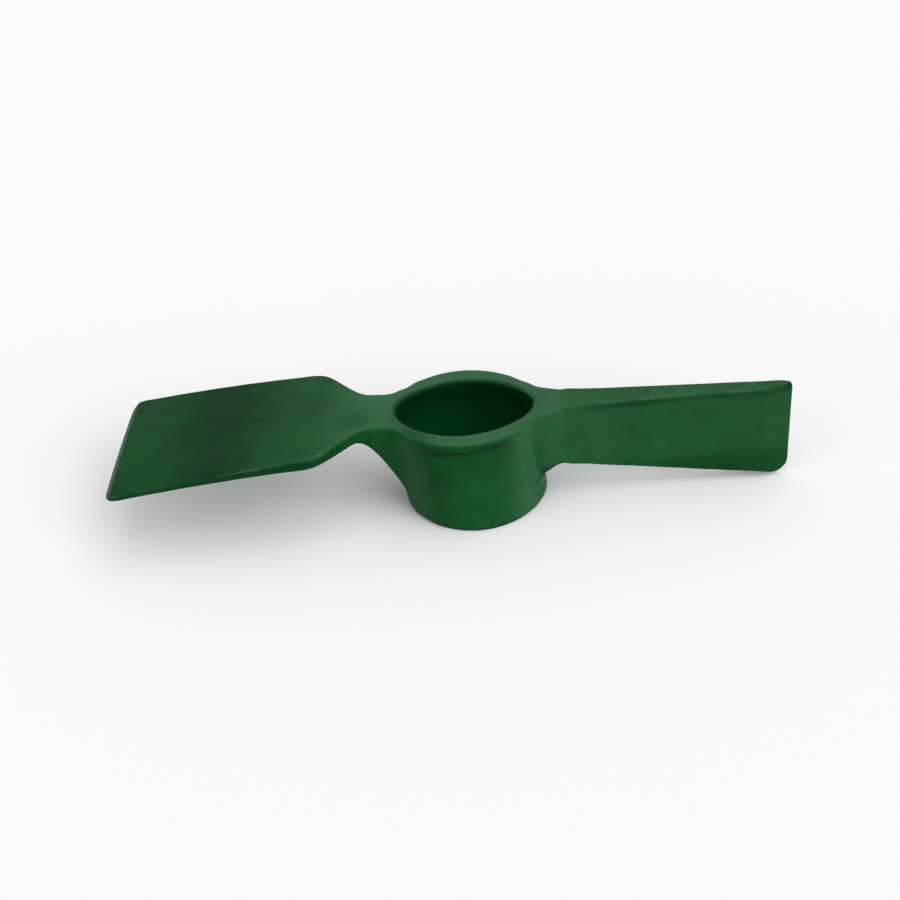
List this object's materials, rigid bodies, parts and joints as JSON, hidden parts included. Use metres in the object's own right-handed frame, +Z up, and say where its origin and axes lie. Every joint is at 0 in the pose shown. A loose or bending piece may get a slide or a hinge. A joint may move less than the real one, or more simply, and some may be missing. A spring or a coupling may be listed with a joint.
{
  "type": "cutter mattock head",
  "caption": "Forged mattock head: oval eye with lipped mouth and deep skirt, broad adze blade one side, upright cutter blade the other.",
  "frame": {"origin": "on the plane of the skirt's foot, half way along the head, in its plane of symmetry", "axes": "+Z up along the eye towards its wide mouth, +X along the head towards the cutter blade, +Y across the head"},
  "size_m": [0.3813, 0.0894, 0.0646],
  "materials": {
    "green_paint": "semi-gloss deep green paint over forged steel"
  },
  "bodies": {
    "root": {"eye": "green_paint", "adze_blade": "green_paint", "cutter_blade": "green_paint"}
  },
  "joints": []
}
